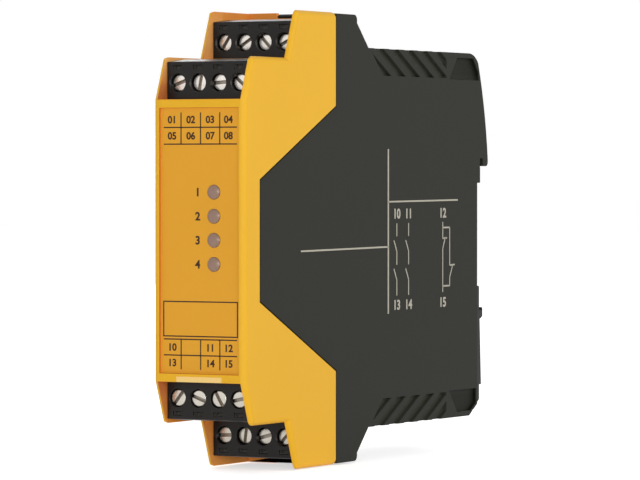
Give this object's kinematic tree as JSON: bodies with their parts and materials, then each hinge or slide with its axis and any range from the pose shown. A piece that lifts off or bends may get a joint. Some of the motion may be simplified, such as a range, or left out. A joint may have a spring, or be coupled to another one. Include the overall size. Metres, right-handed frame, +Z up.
{
  "type": "safety relay",
  "caption": "Slim rail-mounted safety relay with stepped bays of pull-off screw terminal plugs above and below a flat front with status lamps.",
  "frame": {"origin": "middle of the plane that the rail's front lies against: half the width, at the height of the rail's centre line", "axes": "+X to the right as seen from the front, along the rail; +Y backwards, into the rail; +Z up"},
  "size_m": [0.0226, 0.1145, 0.099],
  "materials": {
    "cover_yellow": "satin, fine-grained moulding",
    "shell_black": "matt, fine-grained moulding",
    "foot_black": "matt",
    "plug_black": "satin",
    "header_black": "satin",
    "contact_tin": "tinned copper alloy",
    "tinned_pin": "tinned brass",
    "screw_nickel": "nickel-plated steel",
    "clamp_zinc": "zinc-plated steel",
    "board_green": "solder mask on glass-fibre laminate",
    "relay_case": "satin moulding",
    "lamp_clear": "smoked clear moulding",
    "lamp_chip": "gloss",
    "capacitor_sleeve": "shrink sleeve",
    "chip_black": "matt",
    "spring_steel": "drawn wire"
  },
  "bodies": {
    "housing": {"housing_base": "shell_black", "front_cover": "cover_yellow", "main_board": "board_green", "relay_k1": "relay_case", "relay_k2": "relay_case", "light_guide": "lamp_clear", "status_lamps": "lamp_chip", "capacitors": "capacitor_sleeve", "logic_chips": "chip_black", "header_pins": "tinned_pin", "foot_spring": "spring_steel", "header_upper_front": "header_black", "header_upper_rear": "header_black", "header_lower_front": "header_black", "header_lower_rear": "header_black"},
    "plug_upper_front": {"plug_upper_front": "plug_black", "contacts_upper_front": "contact_tin"},
    "screw_upper_front_1": {"screw_upper_front_1": "screw_nickel"},
    "clamp_upper_front_1": {"clamp_upper_front_1": "clamp_zinc"},
    "screw_upper_front_2": {"screw_upper_front_2": "screw_nickel"},
    "clamp_upper_front_2": {"clamp_upper_front_2": "clamp_zinc"},
    "screw_upper_front_3": {"screw_upper_front_3": "screw_nickel"},
    "clamp_upper_front_3": {"clamp_upper_front_3": "clamp_zinc"},
    "screw_upper_front_4": {"screw_upper_front_4": "screw_nickel"},
    "clamp_upper_front_4": {"clamp_upper_front_4": "clamp_zinc"},
    "plug_upper_rear": {"plug_upper_rear": "plug_black", "contacts_upper_rear": "contact_tin"},
    "screw_upper_rear_1": {"screw_upper_rear_1": "screw_nickel"},
    "clamp_upper_rear_1": {"clamp_upper_rear_1": "clamp_zinc"},
    "screw_upper_rear_2": {"screw_upper_rear_2": "screw_nickel"},
    "clamp_upper_rear_2": {"clamp_upper_rear_2": "clamp_zinc"},
    "screw_upper_rear_3": {"screw_upper_rear_3": "screw_nickel"},
    "clamp_upper_rear_3": {"clamp_upper_rear_3": "clamp_zinc"},
    "screw_upper_rear_4": {"screw_upper_rear_4": "screw_nickel"},
    "clamp_upper_rear_4": {"clamp_upper_rear_4": "clamp_zinc"},
    "plug_lower_front": {"plug_lower_front": "plug_black", "contacts_lower_front": "contact_tin"},
    "screw_lower_front_1": {"screw_lower_front_1": "screw_nickel"},
    "clamp_lower_front_1": {"clamp_lower_front_1": "clamp_zinc"},
    "screw_lower_front_2": {"screw_lower_front_2": "screw_nickel"},
    "clamp_lower_front_2": {"clamp_lower_front_2": "clamp_zinc"},
    "screw_lower_front_3": {"screw_lower_front_3": "screw_nickel"},
    "clamp_lower_front_3": {"clamp_lower_front_3": "clamp_zinc"},
    "screw_lower_front_4": {"screw_lower_front_4": "screw_nickel"},
    "clamp_lower_front_4": {"clamp_lower_front_4": "clamp_zinc"},
    "plug_lower_rear": {"plug_lower_rear": "plug_black", "contacts_lower_rear": "contact_tin"},
    "screw_lower_rear_1": {"screw_lower_rear_1": "screw_nickel"},
    "clamp_lower_rear_1": {"clamp_lower_rear_1": "clamp_zinc"},
    "screw_lower_rear_2": {"screw_lower_rear_2": "screw_nickel"},
    "clamp_lower_rear_2": {"clamp_lower_rear_2": "clamp_zinc"},
    "screw_lower_rear_3": {"screw_lower_rear_3": "screw_nickel"},
    "clamp_lower_rear_3": {"clamp_lower_rear_3": "clamp_zinc"},
    "screw_lower_rear_4": {"screw_lower_rear_4": "screw_nickel"},
    "clamp_lower_rear_4": {"clamp_lower_rear_4": "clamp_zinc"},
    "foot": {"foot_catch": "foot_black"}
  },
  "joints": [
    {"name": "plug_upper_front_pull", "type": "slide", "parent": "housing", "child": "plug_upper_front", "axis": [0, -1, 0], "range_m": [0, 0.022]},
    {"name": "screw_upper_front_1_turn", "type": "hinge", "parent": "plug_upper_front", "child": "screw_upper_front_1", "pos_m": [-0.0075, -0.10665, 0.0336], "axis": [0, -1, 0], "range_deg": [0, 1440]},
    {"name": "clamp_upper_front_1_rise", "type": "slide", "parent": "plug_upper_front", "child": "clamp_upper_front_1", "axis": [0, 1, 0], "range_m": [0, 0.002]},
    {"name": "screw_upper_front_2_turn", "type": "hinge", "parent": "plug_upper_front", "child": "screw_upper_front_2", "pos_m": [-0.0025, -0.10665, 0.0336], "axis": [0, -1, 0], "range_deg": [0, 1440]},
    {"name": "clamp_upper_front_2_rise", "type": "slide", "parent": "plug_upper_front", "child": "clamp_upper_front_2", "axis": [0, 1, 0], "range_m": [0, 0.002]},
    {"name": "screw_upper_front_3_turn", "type": "hinge", "parent": "plug_upper_front", "child": "screw_upper_front_3", "pos_m": [0.0025, -0.10665, 0.0336], "axis": [0, -1, 0], "range_deg": [0, 1440]},
    {"name": "clamp_upper_front_3_rise", "type": "slide", "parent": "plug_upper_front", "child": "clamp_upper_front_3", "axis": [0, 1, 0], "range_m": [0, 0.002]},
    {"name": "screw_upper_front_4_turn", "type": "hinge", "parent": "plug_upper_front", "child": "screw_upper_front_4", "pos_m": [0.0075, -0.10665, 0.0336], "axis": [0, -1, 0], "range_deg": [0, 1440]},
    {"name": "clamp_upper_front_4_rise", "type": "slide", "parent": "plug_upper_front", "child": "clamp_upper_front_4", "axis": [0, 1, 0], "range_m": [0, 0.002]},
    {"name": "plug_upper_rear_pull", "type": "slide", "parent": "housing", "child": "plug_upper_rear", "axis": [0, -1, 0], "range_m": [0, 0.042]},
    {"name": "screw_upper_rear_1_turn", "type": "hinge", "parent": "plug_upper_rear", "child": "screw_upper_rear_1", "pos_m": [-0.0075, -0.0872, 0.04265], "axis": [0, -1, 0], "range_deg": [0, 1440]},
    {"name": "clamp_upper_rear_1_rise", "type": "slide", "parent": "plug_upper_rear", "child": "clamp_upper_rear_1", "axis": [0, 1, 0], "range_m": [0, 0.002]},
    {"name": "screw_upper_rear_2_turn", "type": "hinge", "parent": "plug_upper_rear", "child": "screw_upper_rear_2", "pos_m": [-0.0025, -0.0872, 0.04265], "axis": [0, -1, 0], "range_deg": [0, 1440]},
    {"name": "clamp_upper_rear_2_rise", "type": "slide", "parent": "plug_upper_rear", "child": "clamp_upper_rear_2", "axis": [0, 1, 0], "range_m": [0, 0.002]},
    {"name": "screw_upper_rear_3_turn", "type": "hinge", "parent": "plug_upper_rear", "child": "screw_upper_rear_3", "pos_m": [0.0025, -0.0872, 0.04265], "axis": [0, -1, 0], "range_deg": [0, 1440]},
    {"name": "clamp_upper_rear_3_rise", "type": "slide", "parent": "plug_upper_rear", "child": "clamp_upper_rear_3", "axis": [0, 1, 0], "range_m": [0, 0.002]},
    {"name": "screw_upper_rear_4_turn", "type": "hinge", "parent": "plug_upper_rear", "child": "screw_upper_rear_4", "pos_m": [0.0075, -0.0872, 0.04265], "axis": [0, -1, 0], "range_deg": [0, 1440]},
    {"name": "clamp_upper_rear_4_rise", "type": "slide", "parent": "plug_upper_rear", "child": "clamp_upper_rear_4", "axis": [0, 1, 0], "range_m": [0, 0.002]},
    {"name": "plug_lower_front_pull", "type": "slide", "parent": "housing", "child": "plug_lower_front", "axis": [0, -1, 0], "range_m": [0, 0.022]},
    {"name": "screw_lower_front_1_turn", "type": "hinge", "parent": "plug_lower_front", "child": "screw_lower_front_1", "pos_m": [-0.0075, -0.10665, -0.0336], "axis": [0, -1, 0], "range_deg": [0, 1440]},
    {"name": "clamp_lower_front_1_rise", "type": "slide", "parent": "plug_lower_front", "child": "clamp_lower_front_1", "axis": [0, 1, 0], "range_m": [0, 0.002]},
    {"name": "screw_lower_front_2_turn", "type": "hinge", "parent": "plug_lower_front", "child": "screw_lower_front_2", "pos_m": [-0.0025, -0.10665, -0.0336], "axis": [0, -1, 0], "range_deg": [0, 1440]},
    {"name": "clamp_lower_front_2_rise", "type": "slide", "parent": "plug_lower_front", "child": "clamp_lower_front_2", "axis": [0, 1, 0], "range_m": [0, 0.002]},
    {"name": "screw_lower_front_3_turn", "type": "hinge", "parent": "plug_lower_front", "child": "screw_lower_front_3", "pos_m": [0.0025, -0.10665, -0.0336], "axis": [0, -1, 0], "range_deg": [0, 1440]},
    {"name": "clamp_lower_front_3_rise", "type": "slide", "parent": "plug_lower_front", "child": "clamp_lower_front_3", "axis": [0, 1, 0], "range_m": [0, 0.002]},
    {"name": "screw_lower_front_4_turn", "type": "hinge", "parent": "plug_lower_front", "child": "screw_lower_front_4", "pos_m": [0.0075, -0.10665, -0.0336], "axis": [0, -1, 0], "range_deg": [0, 1440]},
    {"name": "clamp_lower_front_4_rise", "type": "slide", "parent": "plug_lower_front", "child": "clamp_lower_front_4", "axis": [0, 1, 0], "range_m": [0, 0.002]},
    {"name": "plug_lower_rear_pull", "type": "slide", "parent": "housing", "child": "plug_lower_rear", "axis": [0, -1, 0], "range_m": [0, 0.042]},
    {"name": "screw_lower_rear_1_turn", "type": "hinge", "parent": "plug_lower_rear", "child": "screw_lower_rear_1", "pos_m": [-0.0075, -0.0872, -0.04265], "axis": [0, -1, 0], "range_deg": [0, 1440]},
    {"name": "clamp_lower_rear_1_rise", "type": "slide", "parent": "plug_lower_rear", "child": "clamp_lower_rear_1", "axis": [0, 1, 0], "range_m": [0, 0.002]},
    {"name": "screw_lower_rear_2_turn", "type": "hinge", "parent": "plug_lower_rear", "child": "screw_lower_rear_2", "pos_m": [-0.0025, -0.0872, -0.04265], "axis": [0, -1, 0], "range_deg": [0, 1440]},
    {"name": "clamp_lower_rear_2_rise", "type": "slide", "parent": "plug_lower_rear", "child": "clamp_lower_rear_2", "axis": [0, 1, 0], "range_m": [0, 0.002]},
    {"name": "screw_lower_rear_3_turn", "type": "hinge", "parent": "plug_lower_rear", "child": "screw_lower_rear_3", "pos_m": [0.0025, -0.0872, -0.04265], "axis": [0, -1, 0], "range_deg": [0, 1440]},
    {"name": "clamp_lower_rear_3_rise", "type": "slide", "parent": "plug_lower_rear", "child": "clamp_lower_rear_3", "axis": [0, 1, 0], "range_m": [0, 0.002]},
    {"name": "screw_lower_rear_4_turn", "type": "hinge", "parent": "plug_lower_rear", "child": "screw_lower_rear_4", "pos_m": [0.0075, -0.0872, -0.04265], "axis": [0, -1, 0], "range_deg": [0, 1440]},
    {"name": "clamp_lower_rear_4_rise", "type": "slide", "parent": "plug_lower_rear", "child": "clamp_lower_rear_4", "axis": [0, 1, 0], "range_m": [0, 0.002]},
    {"name": "foot_slide", "type": "slide", "parent": "housing", "child": "foot", "axis": [0, 0, -1], "range_m": [0, 0.003], "stiffness_N_per_m": 2000, "springref_m": -0.003, "deforming": ["foot_spring"]}
  ],
  "couplings": [
    {"joint": "screw_upper_front_1_turn", "follows": "clamp_upper_front_1_rise", "rad_per_m": 12566},
    {"joint": "screw_upper_front_2_turn", "follows": "clamp_upper_front_2_rise", "rad_per_m": 12566},
    {"joint": "screw_upper_front_3_turn", "follows": "clamp_upper_front_3_rise", "rad_per_m": 12566},
    {"joint": "screw_upper_front_4_turn", "follows": "clamp_upper_front_4_rise", "rad_per_m": 12566},
    {"joint": "screw_upper_rear_1_turn", "follows": "clamp_upper_rear_1_rise", "rad_per_m": 12566},
    {"joint": "screw_upper_rear_2_turn", "follows": "clamp_upper_rear_2_rise", "rad_per_m": 12566},
    {"joint": "screw_upper_rear_3_turn", "follows": "clamp_upper_rear_3_rise", "rad_per_m": 12566},
    {"joint": "screw_upper_rear_4_turn", "follows": "clamp_upper_rear_4_rise", "rad_per_m": 12566},
    {"joint": "screw_lower_front_1_turn", "follows": "clamp_lower_front_1_rise", "rad_per_m": 12566},
    {"joint": "screw_lower_front_2_turn", "follows": "clamp_lower_front_2_rise", "rad_per_m": 12566},
    {"joint": "screw_lower_front_3_turn", "follows": "clamp_lower_front_3_rise", "rad_per_m": 12566},
    {"joint": "screw_lower_front_4_turn", "follows": "clamp_lower_front_4_rise", "rad_per_m": 12566},
    {"joint": "screw_lower_rear_1_turn", "follows": "clamp_lower_rear_1_rise", "rad_per_m": 12566},
    {"joint": "screw_lower_rear_2_turn", "follows": "clamp_lower_rear_2_rise", "rad_per_m": 12566},
    {"joint": "screw_lower_rear_3_turn", "follows": "clamp_lower_rear_3_rise", "rad_per_m": 12566},
    {"joint": "screw_lower_rear_4_turn", "follows": "clamp_lower_rear_4_rise", "rad_per_m": 12566}
  ]
}
